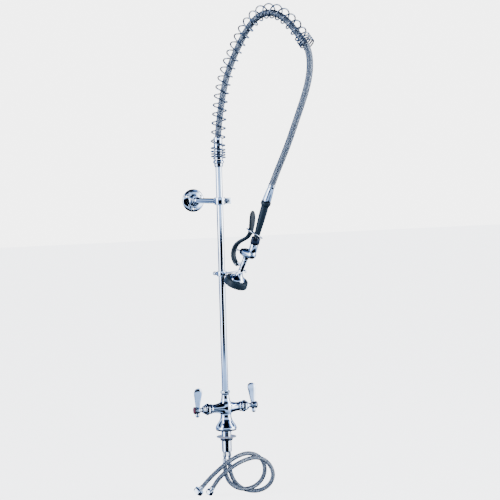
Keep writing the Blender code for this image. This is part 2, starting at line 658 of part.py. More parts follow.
def spray_head(rides):
    spray = arch_line(SPRAY_TOP, SPRAY_END)
    turned(
        "spray_bell",
        [
            (3.8, 40.3), (7, 40.3), (8, 43.5), (8.7, 46.5), (10.8, 50.9), (13.8, 55), (18, 59.2), (21.1, 63),
            (21.9, 66.4), (21.9, 73.6), (19, 73.6), (19, 66.8), (15.6, 61), (9, 51), (3.8, 48),
        ],
        "chrome", spray, rides, 16,
    )
    turned(
        "bumper",
        [
            (22.3, 63.6), (27.4, 63.8), (30, 65), (31, 67.5), (31.9, 79.6), (31, 82), (24.4, 82), (22.3, 80),
        ],
        "slate_plastic", spray, rides, 16,
    )
    face = turned("spray_face", [(2, 74), (21.9, 74), (21.9, 76.4), (19.6, 77.6), (2, 78.4)], "steel", spray, rides, 16)
    for ring, (radius, count) in enumerate(((9.5, 5), (15.5, 8))):
        for index in range(count):
            turn = spray @ Matrix.Rotation(2 * pi * (index + ring / 2) / count, 4, "Z") @ moved(x=radius)
            cut(face, turned_bm(rod_outline(1.5, 70, 85), 5), turn)
    turned(
        "face_screw",
        [(0, 58), (1.7, 58), (1.7, 78.7), (4, 78.7), (4, 80.4), (3, 81.2), (0, 81.4)],
        "steel", spray, rides, 8,
    )


def hold_ring(rides):
    normal = ARCH_OUT * RING_NORMAL[0] + ARCH_SIDE * RING_NORMAL[1] + UP * RING_NORMAL[2]
    middle = in_arch(*RING_MIDDLE)
    section = [
        (RING_R + RING_WIRE * cos(pi * i / 2.5), RING_WIRE * sin(pi * i / 2.5)) for i in range(5)
    ]
    turned("hold_ring", section, "chrome", aim(middle, middle + normal), rides, 16)


def main():
    for old in list(bpy.data.objects):
        bpy.data.objects.remove(old, do_unlink=True)
    deck_fixing()
    faucet_body()
    supply_line("hot", -1, HOT_ROUTE, 24)
    supply_line("cold", 1, COLD_ROUTE, 18)
    axis = Vector((0, 0, ARM_Z))
    hot = joint_empty("hot_joint", axis + Vector((-HUB_X, 0, 0)))
    cold = joint_empty("cold_joint", axis + Vector((HUB_X, 0, 0)))
    side_valve("hot", -1, hot, 8, "red_plastic")
    side_valve("cold", 1, cold, -11, "blue_plastic")
    riser()
    wall_bracket()
    hook()
    arch = joint_empty("arch_joint", in_arch(*FLEX_AT))
    hose_arch(arch)
    grip(arch)
    valve_body(arch)
    valve_works(arch, joint_empty("plunger_slide", in_arch(*BARREL_OUT)))
    spray_head(arch)
    squeeze_lever(joint_empty("lever_joint", in_arch(*LEVER_PIVOT)))
    across = aim(in_arch(*LEVER_PIVOT), in_arch(*LEVER_PIVOT, 1), ARCH_OUT)
    turned("lever_pin", rod_outline(1.9, -8.4, 8.4), "steel", across, arch, 8)
    hold_ring(joint_empty("ring_slide", in_arch(*RING_MIDDLE)))


main()
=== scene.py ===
"""The look of the pre-rinse faucet: smooth finished pieces, finishes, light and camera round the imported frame.

Tables are millimetres, and MM turns them into metres. +Z is up, the user stands on -Y, the wall is on
+Y, and hot is on -X. The spray arm's plane runs forward and to the right of the riser.
"""

import json
from math import cos, pi, radians, sin

import bmesh
import bpy
from mathutils import Matrix, Vector


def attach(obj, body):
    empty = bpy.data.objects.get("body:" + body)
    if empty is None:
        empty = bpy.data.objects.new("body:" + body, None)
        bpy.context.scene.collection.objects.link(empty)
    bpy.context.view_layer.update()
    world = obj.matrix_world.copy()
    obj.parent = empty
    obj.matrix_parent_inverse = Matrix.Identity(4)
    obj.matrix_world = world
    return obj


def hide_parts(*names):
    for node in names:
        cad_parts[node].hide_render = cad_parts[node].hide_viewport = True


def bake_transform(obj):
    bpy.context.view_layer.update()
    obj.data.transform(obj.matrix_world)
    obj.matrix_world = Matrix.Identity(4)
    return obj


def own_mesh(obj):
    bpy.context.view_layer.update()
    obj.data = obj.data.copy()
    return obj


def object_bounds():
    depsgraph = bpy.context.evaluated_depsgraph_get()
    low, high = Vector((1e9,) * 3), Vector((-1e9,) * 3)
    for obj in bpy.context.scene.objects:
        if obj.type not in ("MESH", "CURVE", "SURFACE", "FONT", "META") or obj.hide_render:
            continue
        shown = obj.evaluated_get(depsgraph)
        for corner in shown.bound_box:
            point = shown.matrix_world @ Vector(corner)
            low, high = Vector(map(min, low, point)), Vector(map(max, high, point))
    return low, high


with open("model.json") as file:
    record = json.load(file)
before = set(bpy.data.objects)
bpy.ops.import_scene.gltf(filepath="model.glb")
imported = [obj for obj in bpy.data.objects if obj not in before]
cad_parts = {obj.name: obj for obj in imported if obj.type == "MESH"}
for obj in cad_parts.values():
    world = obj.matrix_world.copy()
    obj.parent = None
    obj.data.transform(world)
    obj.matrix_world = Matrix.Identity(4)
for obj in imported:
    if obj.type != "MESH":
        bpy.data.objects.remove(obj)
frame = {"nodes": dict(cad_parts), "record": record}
cad_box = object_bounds()

MM = 0.001
ROUND = 64                     # sides of a turned piece
ARM_Z, HUB_X = 60, 81
BRACKET_Z, WALL_Y = 612, 200
HOOK_Z, HOOK_RISE, HOOK_REACH = 419, 8, 75
RISER_R = 8.75
WIRE_R, COIL_R = 2, 17.8
ACTIVE_PITCH, CLOSED_PITCH = 23.5, 6.5
HOSE_R, SUPPLY_R, TAIL_X = 8.5, 5.6, 6.2
LEVER_PIVOT = (54, 446)
SPRAY_TOP, SPRAY_END = (85.4, 463), (50, 399)
GRIP_TOP, GRIP_FOOT = (159, 608), (123, 517)
BARREL_OUT, BARREL_IN = (81.5, 477.4), (113.5, 469.4)
RING_MIDDLE, RING_R, RING_WIRE = (117, 527), 23.2, 1.9
RING_NORMAL = (0.435, 0.365, 0.823)

SPRING_ROUTE = [
    (0, 725), (0, 759), (2.5, 795), (6.5, 830.5), (11.5, 866), (19.5, 901), (31, 935), (46.5, 967.5),
    (65, 998.5), (85, 1028), (107.5, 1056), (134.5, 1079.5), (167.5, 1093.5), (203, 1091.5),
    (235, 1075.5), (262, 1051.5), (285.5, 1024.5), (308, 996.5),
]
HOSE_ROUTE = [
    (0, 723), (0, 759), (2.4, 795), (8.4, 830), (15.6, 865), (24.5, 899.5), (35.5, 933), (51, 965),
    (69, 996), (89, 1025), (111, 1052.5), (137, 1075.5), (168.5, 1088.5), (201.5, 1086.5),
    (232, 1071.5), (258.5, 1048), (281.5, 1021.5), (293.8, 1007.5), (304.3, 991), (309.8, 973.5),
    (311.6, 954.5), (310.2, 933.5), (305.2, 910), (297, 886), (286, 860), (263, 811), (240, 763),
    (219, 723.5), (200, 690), (181, 654),
]
COLD_ROUTE = [
    (6.2, -94, 0), (9, -119, 3), (18, -141, 7), (34, -158, 8.5), (55, -167, 7.5),
    (78, -167.5, 3), (99, -159, -4), (115, -142.5, -11), (121.5, -119.5, -17),
    (114.5, -95.5, -21.5), (98.5, -78.5, -24.5), (76.5, -71.5, -26.5), (53.5, -75.5, -27.5),
    (31.5, -84.5, -28), (10.5, -97.5, -27), (-8.5, -112.5, -24), (-25, -130, -18),
    (-39, -151, -11),
]
HOT_ROUTE = [
    (-6.2, -94, 0), (-5.2, -116, -1.5), (3, -137.5, -4.5), (19.5, -152.5, -7), (41, -159, -8),
    (63, -156, -8), (82, -145, -7.5), (95.5, -127, -7.5), (100, -105, -8), (94, -83.5, -9.5),
    (78.5, -68, -12.5), (57.5, -62, -15.5), (35.5, -65.5, -19), (14.5, -75, -23.5), (-6.5, -89, -25), (-27, -106.5, -22),
    (-47, -126, -16.5), (-67, -149, -10.5),
]

UP = Vector((0, 0, 1))
ARCH_OUT = Vector((sin(radians(27)), -cos(radians(27)), 0))
ARCH_SIDE = UP.cross(ARCH_OUT)
VIEW = radians(23)
LOOP_RIGHT = Vector((cos(VIEW), -sin(VIEW), 0))
LOOP_BACK = Vector((sin(VIEW), cos(VIEW), 0))


# ---- camera, floor and light ----

def make_camera():
    dip, roll = radians(3.2), radians(1.6)
    ahead = Vector((sin(VIEW) * cos(dip), cos(VIEW) * cos(dip), -sin(dip)))
    above = LOOP_RIGHT.cross(ahead)
    right = LOOP_RIGHT * cos(roll) - above * sin(roll)
    top = LOOP_RIGHT * sin(roll) + above * cos(roll)
    lens = bpy.data.cameras.new("camera")
    lens.sensor_width = 36
    lens.lens = 97.2
    camera = bpy.data.objects.new("camera", lens)
    camera.matrix_world = Matrix((right, top, -ahead)).transposed().to_4x4()
    camera.matrix_world.translation = (-1.3281, -3.3254, 0.680)
    bpy.context.scene.collection.objects.link(camera)
    bpy.context.scene.camera = camera


def softbox(name, place, target, width, height, power, colour=(1, 1, 1)):
    light = bpy.data.lights.new(name, "AREA")
    light.shape = "RECTANGLE"
    light.size, light.size_y = width, height
    light.energy = power
    light.color = colour
    lamp = bpy.data.objects.new(name, light)
    lamp.location = place
    lamp.rotation_euler = (Vector(target) - Vector(place)).to_track_quat("-Z", "Y").to_euler()
    bpy.context.scene.collection.objects.link(lamp)


def ramp_node(tree, value, stops):
    ramp = tree.nodes.new("ShaderNodeValToRGB")
    ramp.color_ramp.interpolation = "EASE"
    elements = ramp.color_ramp.elements
    elements[0].position, elements[0].color = stops[0][0], (*stops[0][1], 1)
    elements[1].position, elements[1].color = stops[-1][0], (*stops[-1][1], 1)
    for position, colour in stops[1:-1]:
        elements.new(position).color = (*colour, 1)
    tree.links.new(value, ramp.inputs["Fac"])
    return ramp.outputs["Color"]


def make_studio():
    """A white room that is dark on the user's side and cool overhead, so that chrome carries dark bands."""
    world = bpy.data.worlds.new("studio")
    bpy.context.scene.world = world
    world.use_nodes = True
    tree = world.node_tree
    tree.nodes.clear()
    out = tree.nodes.new("ShaderNodeOutputWorld")
    back = tree.nodes.new("ShaderNodeBackground")
    back.inputs["Strength"].default_value = 5.0
    coords = tree.nodes.new("ShaderNodeTexCoord")
    parts = []
    for direction in (LOOP_RIGHT, -LOOP_BACK):
        dot = tree.nodes.new("ShaderNodeVectorMath")
        dot.operation = "DOT_PRODUCT"
        dot.inputs[1].default_value = direction
        tree.links.new(coords.outputs["Generated"], dot.inputs[0])
        parts.append(dot.outputs["Value"])
    turn = tree.nodes.new("ShaderNodeMath")
    turn.operation = "ARCTAN2"
    for part, socket in zip(parts, turn.inputs):
        tree.links.new(part, socket)
    share = tree.nodes.new("ShaderNodeMapRange")
    share.inputs["From Min"].default_value, share.inputs["From Max"].default_value = -pi, pi
    tree.links.new(turn.outputs["Value"], share.inputs["Value"])
    # Degrees round the room from the user's side, positive to the user's right
    bands = [
        (-180, (0.03, 0.04, 0.07)), (-156, (0.05, 0.07, 0.12)), (-132, (0.26, 0.34, 0.50)), (-108, (0.05, 0.07, 0.12)),
        (-88, (0.22, 0.29, 0.43)), (-66, (0.95, 0.98, 1)), (-44, (0.80, 0.88, 1)), (-32, (0.12, 0.17, 0.3)),
        (-18, (0.004, 0.006, 0.013)), (44, (0.003, 0.005, 0.011)), (60, (0.85, 0.92, 1)), (98, (1, 1, 1)),
        (120, (0.16, 0.22, 0.36)), (142, (0.03, 0.04, 0.08)), (160, (0.22, 0.28, 0.42)), (180, (0.03, 0.04, 0.07)),
    ]
    round_room = ramp_node(tree, share.outputs["Result"], [((turned + 180) / 360, tone) for turned, tone in bands])
    split = tree.nodes.new("ShaderNodeSeparateXYZ")
    tree.links.new(coords.outputs["Generated"], split.inputs["Vector"])
    height = tree.nodes.new("ShaderNodeMapRange")
    height.inputs["From Min"].default_value = -1
    tree.links.new(split.outputs["Z"], height.inputs["Value"])
    level_room = ramp_node(tree, height.outputs["Result"], [
        (0.0, (0.02, 0.03, 0.05)), (0.18, (0.02, 0.03, 0.05)), (0.28, (0.4, 0.48, 0.62)), (0.38, (1, 1, 1)),
        (0.64, (1, 1, 1)), (0.74, (0.08, 0.12, 0.22)), (0.85, (0.30, 0.38, 0.52)), (0.92, (0.06, 0.08, 0.14)), (1.0, (0.04, 0.06, 0.1)),
    ])
    # Two pale panels above and below the dark side, which the flat blades of the handles lean towards
    panels = ramp_node(tree, height.outputs["Result"], [
        (0.0, (0, 0, 0)), (0.20, (0, 0, 0)), (0.25, (0.30, 0.38, 0.50)), (0.30, (0.34, 0.43, 0.56)), (0.335, (0, 0, 0)),
        (0.55, (0, 0, 0)), (0.585, (0.40, 0.49, 0.63)), (0.68, (0.34, 0.43, 0.56)), (0.74, (0.02, 0.03, 0.05)), (1.0, (0, 0, 0)),
    ])
    both = tree.nodes.new("ShaderNodeMix")
    both.data_type, both.blend_type = "RGBA", "MULTIPLY"
    both.inputs["Factor"].default_value = 1.0
    colours = [socket for socket in both.inputs if socket.type == "RGBA"]
    tree.links.new(round_room, colours[0])
    tree.links.new(level_room, colours[1])
    room = tree.nodes.new("ShaderNodeMix")
    room.data_type, room.blend_type = "RGBA", "LIGHTEN"
    room.inputs["Factor"].default_value = 1.0
    halves = [socket for socket in room.inputs if socket.type == "RGBA"]
    tree.links.new(next(s for s in both.outputs if s.type == "RGBA"), halves[0])
    tree.links.new(panels, halves[1])
    contrast = tree.nodes.new("ShaderNodeGamma")
    contrast.inputs["Gamma"].default_value = 1.75
    tree.links.new(next(s for s in room.outputs if s.type == "RGBA"), contrast.inputs["Color"])
    seen = tree.nodes.new("ShaderNodeLightPath")
    plain = tree.nodes.new("ShaderNodeMix")
    plain.data_type = "RGBA"
    ends = [socket for socket in plain.inputs if socket.type == "RGBA"]
    ends[1].default_value = (1, 1, 1, 1)
    tree.links.new(seen.outputs["Is Camera Ray"], plain.inputs["Factor"])
    tree.links.new(contrast.outputs["Color"], ends[0])
    tree.links.new(next(s for s in plain.outputs if s.type == "RGBA"), back.inputs["Color"])
    tree.links.new(back.outputs["Background"], out.inputs["Surface"])
    softbox("left_softbox", (-2.6, -0.6, 1.6), (0, 0, 0.5), 0.7, 2.2, 30)
    softbox("right_softbox", (2.2, -1.2, 1.3), (0, 0, 0.5), 0.5, 2.0, 30, (0.93, 0.96, 1))

    bm = bmesh.new()
    bmesh.ops.create_grid(bm, x_segments=1, y_segments=1, size=14)
    bmesh.ops.translate(bm, vec=(0, 0, cad_box[0][2] - 0.001), verts=bm.verts)
    mesh = bpy.data.meshes.new("floor")
    bm.to_mesh(mesh)
    bm.free()
    floor = bpy.data.objects.new("floor", mesh)
    bpy.context.scene.collection.objects.link(floor)
    floor.visible_glossy = floor.visible_diffuse = False
    paint = Finish("floor_paint", (0.93, 0.93, 0.93), 0.8, Emission_Color=(1, 1, 1, 1), Emission_Strength=3.9)
    paint.vary_colour(3, (0.92, 0.92, 0.92), (0.95, 0.95, 0.95))
    mesh.materials.append(paint.material)


# ---- finishes ----

class Finish:
    """A node material. Constants sit on the shader; patterns follow the piece's own coordinates."""

    def __init__(self, name, colour, roughness, metallic=0.0, **sockets):
        self.material = bpy.data.materials.new(name)
        self.material.use_nodes = True
        self.tree = self.material.node_tree
        self.shader = self.tree.nodes["Principled BSDF"]
        self.material.diffuse_color = (*colour, 1)
        self.shader.inputs["Base Color"].default_value = (*colour, 1)
        self.shader.inputs["Roughness"].default_value = roughness
        self.shader.inputs["Metallic"].default_value = metallic
        for socket, value in sockets.items():
            self.shader.inputs[socket.replace("_", " ")].default_value = value
        self.coords = self.node("ShaderNodeTexCoord")
        self.bumped = None

    def node(self, kind, **settings):
        made = self.tree.nodes.new(kind)
        for key, value in settings.items():
            setattr(made, key, value)
        return made

    def link(self, a, b):
        self.tree.links.new(a, b)

    def noise(self, scale, detail=2.0, stretch=(1, 1, 1)):
        mapping = self.node("ShaderNodeMapping")
        mapping.inputs["Scale"].default_value = stretch
        self.link(self.coords.outputs["Object"], mapping.inputs["Vector"])
        noise = self.node("ShaderNodeTexNoise")
        noise.inputs["Scale"].default_value = scale
        noise.inputs["Detail"].default_value = detail
        self.link(mapping.outputs["Vector"], noise.inputs["Vector"])
        return noise.outputs["Fac"]

    def span(self, value, low, high, start=0.3, stop=0.7):
        spread = self.node("ShaderNodeMapRange")
        for socket, number in (("From Min", start), ("From Max", stop), ("To Min", low), ("To Max", high)):
            spread.inputs[socket].default_value = number
        self.link(value, spread.inputs["Value"])
        return spread.outputs["Result"]

    def maths(self, operation, a, b=0.0):
        made = self.node("ShaderNodeMath", operation=operation)
        for socket, value in zip(made.inputs, (a, b)):
            if isinstance(value, (int, float)):
                socket.default_value = value
            else:
                self.link(value, socket)
        return made.outputs["Value"]

    def tint(self, value, first, second):
        mix = self.node("ShaderNodeMix", data_type="RGBA")
        colours = [socket for socket in mix.inputs if socket.type == "RGBA"]
        for socket, colour in zip(colours, (first, second)):
            socket.default_value = (*colour, 1)
        self.link(value, mix.inputs["Factor"])
        self.link(next(socket for socket in mix.outputs if socket.type == "RGBA"), self.shader.inputs["Base Color"])

    def vary_colour(self, scale, first, second, stretch=(1, 1, 1)):
        self.tint(self.span(self.noise(scale, 3, stretch), 0, 1), first, second)

    def vary_gloss(self, scale, low, high, stretch=(1, 1, 1)):
        self.link(self.span(self.noise(scale, 4, stretch), low, high), self.shader.inputs["Roughness"])

    def relief(self, height, depth, strength=1.0):
        bump = self.node("ShaderNodeBump")
        bump.inputs["Strength"].default_value = strength
        bump.inputs["Distance"].default_value = depth
        self.link(height, bump.inputs["Height"])
        if self.bumped:
            self.link(self.bumped, bump.inputs["Normal"])
        self.bumped = bump.outputs["Normal"]
        self.link(self.bumped, self.shader.inputs["Normal"])


def plated(name, light, dark, low, high):
    """Polished plate: faint cloudiness, water spots and a very slight ripple left by polishing."""
    made = Finish(name, light, low, 1.0)
    made.vary_colour(34, dark, light)
    smear = made.span(made.noise(70, 5), low, high, 0.38, 0.75)
    spots = made.span(made.noise(420, 1), 0, 0.06, 0.7, 0.78)
    made.link(made.maths("ADD", smear, spots), made.shader.inputs["Roughness"])
    made.relief(made.noise(26, 1), 0.00012, 0.12)
    return made.material


def machined(name, light, dark, low, high):
    made = Finish(name, light, low, 1.0)
    made.vary_colour(60, dark, light)
    made.vary_gloss(160, low, high, (1, 1, 7))
    made.relief(made.noise(900, 2, (1, 1, 6)), 0.00004, 0.4)
    return made.material


def woven(name, turns, light, dark):
    """Round wire braid on a hose: bundles of wires cross over and under, on the hose's own UV in diameters; the colour
    darkens in the gaps between bundles as painted shade.
    """
    made = Finish(name, light, 0.34, 1.0)
    split = made.node("ShaderNodeSeparateXYZ")
    made.link(made.coords.outputs["UV"], split.inputs["Vector"])
    along = made.maths("MULTIPLY", split.outputs["X"], turns * 0.62)
    around = made.maths("MULTIPLY", split.outputs["Y"], turns)
    first = made.maths("ADD", along, around)
    second = made.maths("SUBTRACT", along, around)
    wave_a = made.maths("SINE", made.maths("MULTIPLY", first, 2 * pi))
    wave_b = made.maths("SINE", made.maths("MULTIPLY", second, 2 * pi))
    weave = made.maths("MULTIPLY", wave_a, wave_b)
    over = made.span(weave, 0, 1, -0.12, 0.12)
    strands_a = made.maths("SINE", made.maths("MULTIPLY", first, 10 * pi))
    strands_b = made.maths("SINE", made.maths("MULTIPLY", second, 10 * pi))
    strands = made.maths(
        "ADD",
        made.maths("MULTIPLY", strands_a, over),
        made.maths("MULTIPLY", strands_b, made.maths("SUBTRACT", 1.0, over)),
    )
    crown = made.maths("ABSOLUTE", weave)
    shade = made.maths("ADD", made.maths("MULTIPLY", crown, 0.75), made.maths("MULTIPLY", strands, 0.18))
    lift = made.maths("ADD", shade, made.maths("MULTIPLY", made.noise(130, 2), 0.25))
    # Base colour goes near black in the gaps between crossing bundles and light on their crowns: painted shade in the
    # gaps, plus random tone from the noise
    made.tint(made.span(lift, 0, 1, 0.05, 0.75), dark, light)
    made.link(made.span(shade, 0.5, 0.26, 0, 0.8), made.shader.inputs["Roughness"])
    made.relief(shade, 0.0006, 0.8)
    return made.material


def moulded(name, light, dark, low, high, grain, **sockets):
    made = Finish(name, light, low, **sockets)
    made.vary_colour(28, dark, light)
    made.vary_gloss(50, low, high)
    made.relief(made.noise(grain, 3), 0.00005, 0.3)
    return made.material


def index_cap(name, side, face, rim):
    """A cap whose colour deepens towards its rim."""
    made = Finish(name, face, 0.22, Coat_Weight=0.5, Coat_Roughness=0.08)
    split = made.node("ShaderNodeSeparateXYZ")
    made.link(made.coords.outputs["Object"], split.inputs["Vector"])
    off_y = split.outputs["Y"]
    off_z = made.maths("SUBTRACT", split.outputs["Z"], ARM_Z * MM)
    radius = made.maths("SQRT", made.maths("ADD", made.maths("MULTIPLY", off_y, off_y), made.maths("MULTIPLY", off_z, off_z)))
    edge = made.span(made.maths("ADD", radius, made.maths("MULTIPLY", made.noise(300), 0.0006)), 0, 1, 0.0072, 0.0092)
    made.tint(edge, face, rim)
    made.relief(made.noise(350, 2), 0.00004, 0.25)
    return made.material


def make_finishes():
    return {
        "chrome": plated("chrome", (0.80, 0.84, 0.90), (0.66, 0.71, 0.79), 0.045, 0.13),
        "dark_chrome": plated("dark_chrome", (0.05, 0.06, 0.085), (0.025, 0.032, 0.05), 0.18, 0.32),
        "brass": machined("brass", (0.78, 0.60, 0.30), (0.60, 0.44, 0.20), 0.2, 0.38),
        "steel": machined("steel", (0.68, 0.70, 0.74), (0.50, 0.52, 0.56), 0.2, 0.36),
        # A darker copy of chrome for the spring coils: painted shade standing in for the dark reflections that the
        # coils show
        "spring_wire": plated("spring_wire", (0.30, 0.34, 0.41), (0.18, 0.21, 0.27), 0.06, 0.14),
        "braid": woven("braid", 6, (0.50, 0.55, 0.63), (0.015, 0.02, 0.03)),
        "slate_plastic": moulded("slate_plastic", (0.017, 0.036, 0.054), (0.009, 0.022, 0.034), 0.4, 0.55, 900,
                                 Specular_IOR_Level=0.3),
        "black_rubber": moulded("black_rubber", (0.022, 0.022, 0.025), (0.012, 0.012, 0.014), 0.6, 0.8, 500),
        "white_plastic": moulded("white_plastic", (0.72, 0.72, 0.80), (0.62, 0.62, 0.70), 0.35, 0.5, 300,
                                 Subsurface_Weight=0.2, Subsurface_Scale=0.004),
        "ceramic": moulded("ceramic", (0.86, 0.85, 0.82), (0.80, 0.79, 0.76), 0.15, 0.25, 200),
        "red_plastic": index_cap("red_plastic", "hot", (0.28, 0.012, 0.03), (0.03, 0.006, 0.012)),
        "blue_plastic": index_cap("blue_plastic", "cold", (0.02, 0.07, 0.42), (0.006, 0.012, 0.05)),
    }


# ---- placing ----

def in_arch(u, z, v=0.0):
    """A world point in mm: u out along the spray arm's plane, v to one side of it."""
    return ARCH_OUT * u + ARCH_SIDE * v + UP * z


def in_loop(right, z, back):
    return LOOP_RIGHT * right + LOOP_BACK * back + UP * z


def aim(start, end, across=None):
    """Local +Z from start to end, local +X near across. In mm."""
    along = (end - start).normalized()
    across = across or (Vector((1, 0, 0)) if abs(along.x) < 0.9 else UP)
    side = along.cross(across).normalized()
    return Matrix.Translation(start) @ Matrix((side.cross(along), side, along)).transposed().to_4x4()


def arch_line(start, end):
    return aim(in_arch(*start), in_arch(*end), ARCH_SIDE)


def side_line(sign):
    middle = Vector((0, 0, ARM_Z))
    return aim(middle, middle + Vector((sign, 0, 0)), UP)


def moved(x=0.0, y=0.0, z=0.0):
    return Matrix.Translation((x, y, z))


def spun(axis, degrees):
    return Matrix.Rotation(radians(degrees), 4, axis)


# ---- making ----

def lathe(outline, sides=ROUND, soft=0.35, segments=2):
    """Spins a (radius, height) outline, and rounds the rims where it turns sharply."""
    bm = bmesh.new()
    verts = [bm.verts.new((radius, 0, height)) for radius, height in outline]
    edges = [bm.edges.new(pair) for pair in zip(verts, verts[1:])]
    if outline[0][0] > 0 or outline[-1][0] > 0:
        edges.append(bm.edges.new((verts[-1], verts[0])))
    bmesh.ops.spin(bm, geom=verts + edges, axis=UP, cent=(0, 0, 0), angle=2 * pi, steps=sides, use_merge=True)
    bmesh.ops.remove_doubles(bm, verts=bm.verts, dist=1e-4)
    bmesh.ops.recalc_face_normals(bm, faces=bm.faces)
    if soft:
        soften(bm, soft, segments)
    return bm


def soften(bm, width, segments=2, sharper=24):
    sharp = [e for e in bm.edges if len(e.link_faces) == 2 and e.calc_face_angle(0) > radians(sharper)]
    bmesh.ops.bevel(bm, geom=sharp, offset=width, offset_type="OFFSET", affect="EDGES", segments=segments,
                    profile=0.5, material=-1, clamp_overlap=True)
    return bm


def ring(bore, outside, low, high, soft=0.35):
    return lathe([(bore, low), (outside, low), (outside, high), (bore, high)], soft=soft)


def rod(radius, low, high, sides=48, soft=0.0):
    return lathe([(0, low), (radius, low), (radius, high), (0, high)], sides, soft)


def prism(corners, low, high, soft=0.0, segments=2):
    """Extrudes an (x, y) outline along Z."""
    bm = bmesh.new()
    face = bm.faces.new([bm.verts.new((x, y, low)) for x, y in corners])
    grown = bmesh.ops.extrude_face_region(bm, geom=[face])["geom"]
    tops = [item for item in grown if isinstance(item, bmesh.types.BMVert)]
    bmesh.ops.translate(bm, vec=(0, 0, high - low), verts=tops)
    bmesh.ops.recalc_face_normals(bm, faces=bm.faces)
    if soft:
        soften(bm, soft, segments)
    return bm


def block(low, high, soft=0.0):
    corners = [(low[0], low[1]), (high[0], low[1]), (high[0], high[1]), (low[0], high[1])]
    return prism(corners, low[2], high[2], soft)


def hexagon(across_flats):
    radius = across_flats / 2 / cos(pi / 6)
    return [(radius * cos(pi * i / 3), radius * sin(pi * i / 3)) for i in range(6)]


def hex_bar(across_flats, low, high, chamfer=1.0):
    """A hexagonal bar whose corners are turned off at both ends, as on a nut."""
    bm = prism(hexagon(across_flats), low, high)
    corner = across_flats / 2 / cos(pi / 6)
    ends = [e for e in bm.edges if abs(e.verts[0].co.z - e.verts[1].co.z) < 1e-6]
    bmesh.ops.subdivide_edges(bm, edges=ends, cuts=7, use_grid_fill=False)
    for vert in bm.verts:
        over = (vert.co.xy.length - across_flats / 2) / (corner - across_flats / 2)
        vert.co.z += chamfer * over * (1 if vert.co.z < (low + high) / 2 else -1)
    return soften(bm, 0.35, 2)


def thread(radius, low, high, pitch, depth):
    """One long helical ridge, swept up the rod by spin."""
    bm = bmesh.new()
    section = [(radius - depth - 0.3, 0), (radius, pitch * 0.36), (radius, pitch * 0.5), (radius - depth - 0.3, pitch * 0.86)]
    verts = [bm.verts.new((r, 0, low + z)) for r, z in section]
    edges = [bm.edges.new((verts[i], verts[(i + 1) % 4])) for i in range(4)]
    turns = (high - low - pitch) / pitch
    steps = int(turns * 28)
    start = bm.faces.new(verts)
    swept = bmesh.ops.spin(bm, geom=[start, *edges, *verts], axis=UP, cent=(0, 0, 0), angle=2 * pi * turns,
                           dvec=(0, 0, (high - low - pitch) / steps), steps=steps)
    del swept
    bmesh.ops.recalc_face_normals(bm, faces=bm.faces)
    return bm


def cast(obj, grain, passes):
    """Melts the joins of overlapping shapes into the soft hollows that a casting has."""
    melt = obj.modifiers.new("melt", "REMESH")
    melt.mode, melt.voxel_size = "VOXEL", grain
    soft = obj.modifiers.new("soft", "SMOOTH")
    soft.factor, soft.iterations = 0.5, passes
    graph = bpy.context.evaluated_depsgraph_get()
    result = bpy.data.meshes.new_from_object(obj.evaluated_get(graph))
    obj.modifiers.clear()
    obj.data = result


def placed(bm, place):
    bm.transform(place)
    return bm


def to_object(name, shells, smooth=32):
    """Joins bmeshes in mm, already in place, into one object in metres whose own place is the origin."""
    whole = bmesh.new()
    for shell in shells:
        mesh = bpy.data.meshes.new("shell")
        shell.to_mesh(mesh)
        shell.free()
        whole.from_mesh(mesh)
        bpy.data.meshes.remove(mesh)
    bmesh.ops.scale(whole, vec=(MM, MM, MM), verts=whole.verts)
    mesh = bpy.data.meshes.new(name)
    whole.to_mesh(mesh)
    whole.free()
    mesh.shade_smooth()
    mesh.set_sharp_from_angle(angle=radians(smooth))
    made = bpy.data.objects.new(name, mesh)
    bpy.context.scene.collection.objects.link(made)
    return made


def shaped(obj, operation, bm):
    """Cuts a shape in mm from the piece, or joins it on, and keeps the result as its mesh."""
    tool = to_object("tool", [bm])
    modifier = obj.modifiers.new("shape", "BOOLEAN")
    modifier.operation, modifier.object, modifier.solver = operation, tool, "EXACT"
    graph = bpy.context.evaluated_depsgraph_get()
    result = bpy.data.meshes.new_from_object(obj.evaluated_get(graph))
    obj.modifiers.clear()
    old, obj.data = obj.data, result
    bpy.data.meshes.remove(old)
    bpy.data.objects.remove(tool)
    obj.data.shade_smooth()
    obj.data.set_sharp_from_angle(angle=radians(32))
    return obj


def cut(obj, bm):
    return shaped(obj, "DIFFERENCE", bm)


def join(obj, bm):
    return shaped(obj, "UNION", bm)


def done(obj, slot, body, *nodes):
    """Gives the piece its finish, and puts it on its body in place of its CAD nodes."""
    obj.data.materials.clear()
    obj.data.materials.append(finishes[slot])
    if body:
        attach(obj, body)
    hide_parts(*(nodes or (obj.name[: -len("_piece")],)))
    return obj


def piece(node, slot, body, *shells):
    return done(to_object(f"{node}_piece", shells), slot, body, node)


def smooth_route(points, count):
    """count points, evenly spaced, along a Catmull-Rom curve through the route's own points, and its length."""
    points = [Vector(point) for point in points]
    padded = [2 * points[0] - points[1], *points, 2 * points[-1] - points[-2]]
    fine = []
    for a, b, c, d in zip(padded, padded[1:], padded[2:], padded[3:]):
        for step in range(24):
            t = step / 24
            fine.append(
                (2 * b + (c - a) * t + (2 * a - 5 * b + 4 * c - d) * t**2 + (3 * b - a - 3 * c + d) * t**3) / 2
            )
    fine.append(points[-1])
    lengths = [0.0]
    for before, after in zip(fine, fine[1:]):
        lengths.append(lengths[-1] + (after - before).length)
    spaced, at = [], 0
    for index in range(count):
        wanted = lengths[-1] * index / (count - 1)
        while at < len(fine) - 2 and lengths[at + 1] < wanted:
            at += 1
        share = (wanted - lengths[at]) / (lengths[at + 1] - lengths[at])
        spaced.append(fine[at].lerp(fine[at + 1], min(share, 1)))
    return spaced, lengths[-1]


